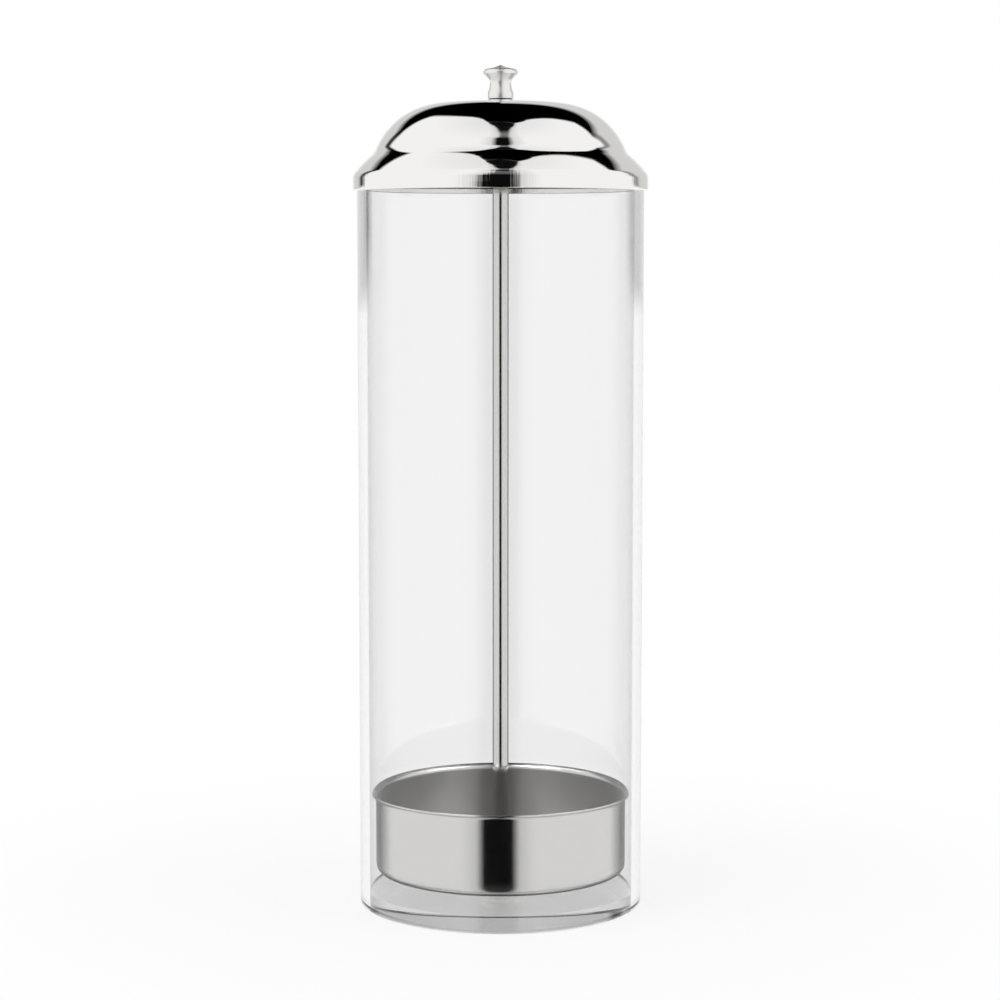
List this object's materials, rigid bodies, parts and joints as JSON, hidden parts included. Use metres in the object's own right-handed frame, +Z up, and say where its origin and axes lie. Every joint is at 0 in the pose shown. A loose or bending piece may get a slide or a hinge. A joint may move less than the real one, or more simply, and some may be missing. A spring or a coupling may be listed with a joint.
{
  "type": "straw dispenser",
  "caption": "Round clear straw dispenser: a tube on a clear base, and a steel dome lid whose knob lifts a centre rod and cup that raise the straws.",
  "frame": {"origin": "centre of the underside, where the tube and the base disc stand on the table", "axes": "+Z up along the axis of the tube, rod and lid; X and Y are free because the object is round"},
  "size_m": [0.0926, 0.0926, 0.2651],
  "materials": {
    "clear_acrylic": "clear, polished",
    "polished_steel": "mirror polished stainless steel",
    "brushed_steel": "satin with fine turning lines",
    "plain_steel": "bright drawn stainless steel",
    "dark_fibre": "dull black fibre"
  },
  "bodies": {
    "tube": {"body_tube": "clear_acrylic", "base_disc": "clear_acrylic"},
    "lift": {"dome_lid": "polished_steel", "lid_knob": "polished_steel", "knob_seat_washer": "dark_fibre", "lid_backing_washer": "plain_steel", "lid_lock_washer": "plain_steel", "lid_nut": "plain_steel", "centre_rod": "plain_steel", "straw_cup": "brushed_steel", "cup_upper_nut": "plain_steel", "cup_upper_washer": "plain_steel", "cup_lower_washer": "plain_steel", "cup_lower_nut": "plain_steel"}
  },
  "joints": [
    {"name": "lift", "type": "slide", "parent": "tube", "child": "lift", "axis": [0, 0, 1], "range_m": [0, 0.24]}
  ]
}
